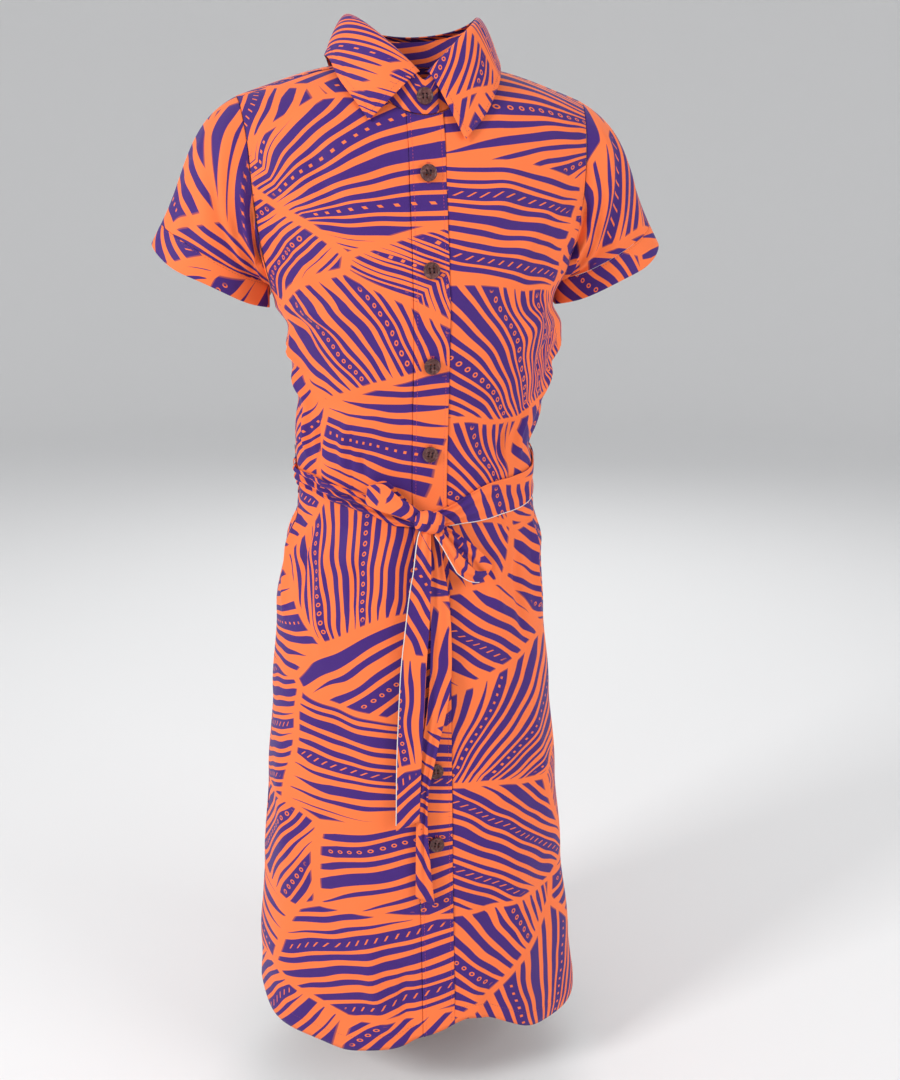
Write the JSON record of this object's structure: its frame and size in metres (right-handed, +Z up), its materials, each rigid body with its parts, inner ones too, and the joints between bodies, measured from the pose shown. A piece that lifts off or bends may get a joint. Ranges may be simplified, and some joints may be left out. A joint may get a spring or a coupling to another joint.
{
  "type": "shirt dress",
  "caption": "Short-sleeved shirt dress with a shirt collar, buttoned front band, turned cuffs and a tied belt, filled out as worn.",
  "frame": {"origin": "centre of the neck opening, level with the points where the shoulders meet the collar", "axes": "+Z up, the front faces -Y, the wearer's left is +X"},
  "size_m": [0.5264, 0.2925, 1.0868],
  "materials": {
    "printed_cloth": "fine plain-weave cloth, orange with purple print",
    "button_shell": "dark brown polished button"
  },
  "bodies": {
    "root": {"front_right": "printed_cloth", "front_left": "printed_cloth", "band_right": "printed_cloth", "band_left": "printed_cloth", "back": "printed_cloth", "yoke": "printed_cloth", "sleeve_left": "printed_cloth", "cuff_left": "printed_cloth", "sleeve_right": "printed_cloth", "cuff_right": "printed_cloth", "collar_stand": "printed_cloth", "collar": "printed_cloth", "belt_waist": "printed_cloth", "belt_knot": "printed_cloth", "belt_bow_right": "printed_cloth", "belt_bow_left": "printed_cloth", "belt_tail_right": "printed_cloth", "belt_tail_left": "printed_cloth", "carrier_right": "printed_cloth", "carrier_left": "printed_cloth", "button_01": "button_shell", "button_02": "button_shell", "button_03": "button_shell", "button_04": "button_shell", "button_05": "button_shell", "button_06": "button_shell", "button_07": "button_shell", "button_08": "button_shell", "button_09": "button_shell", "button_10": "button_shell"}
  },
  "joints": []
}
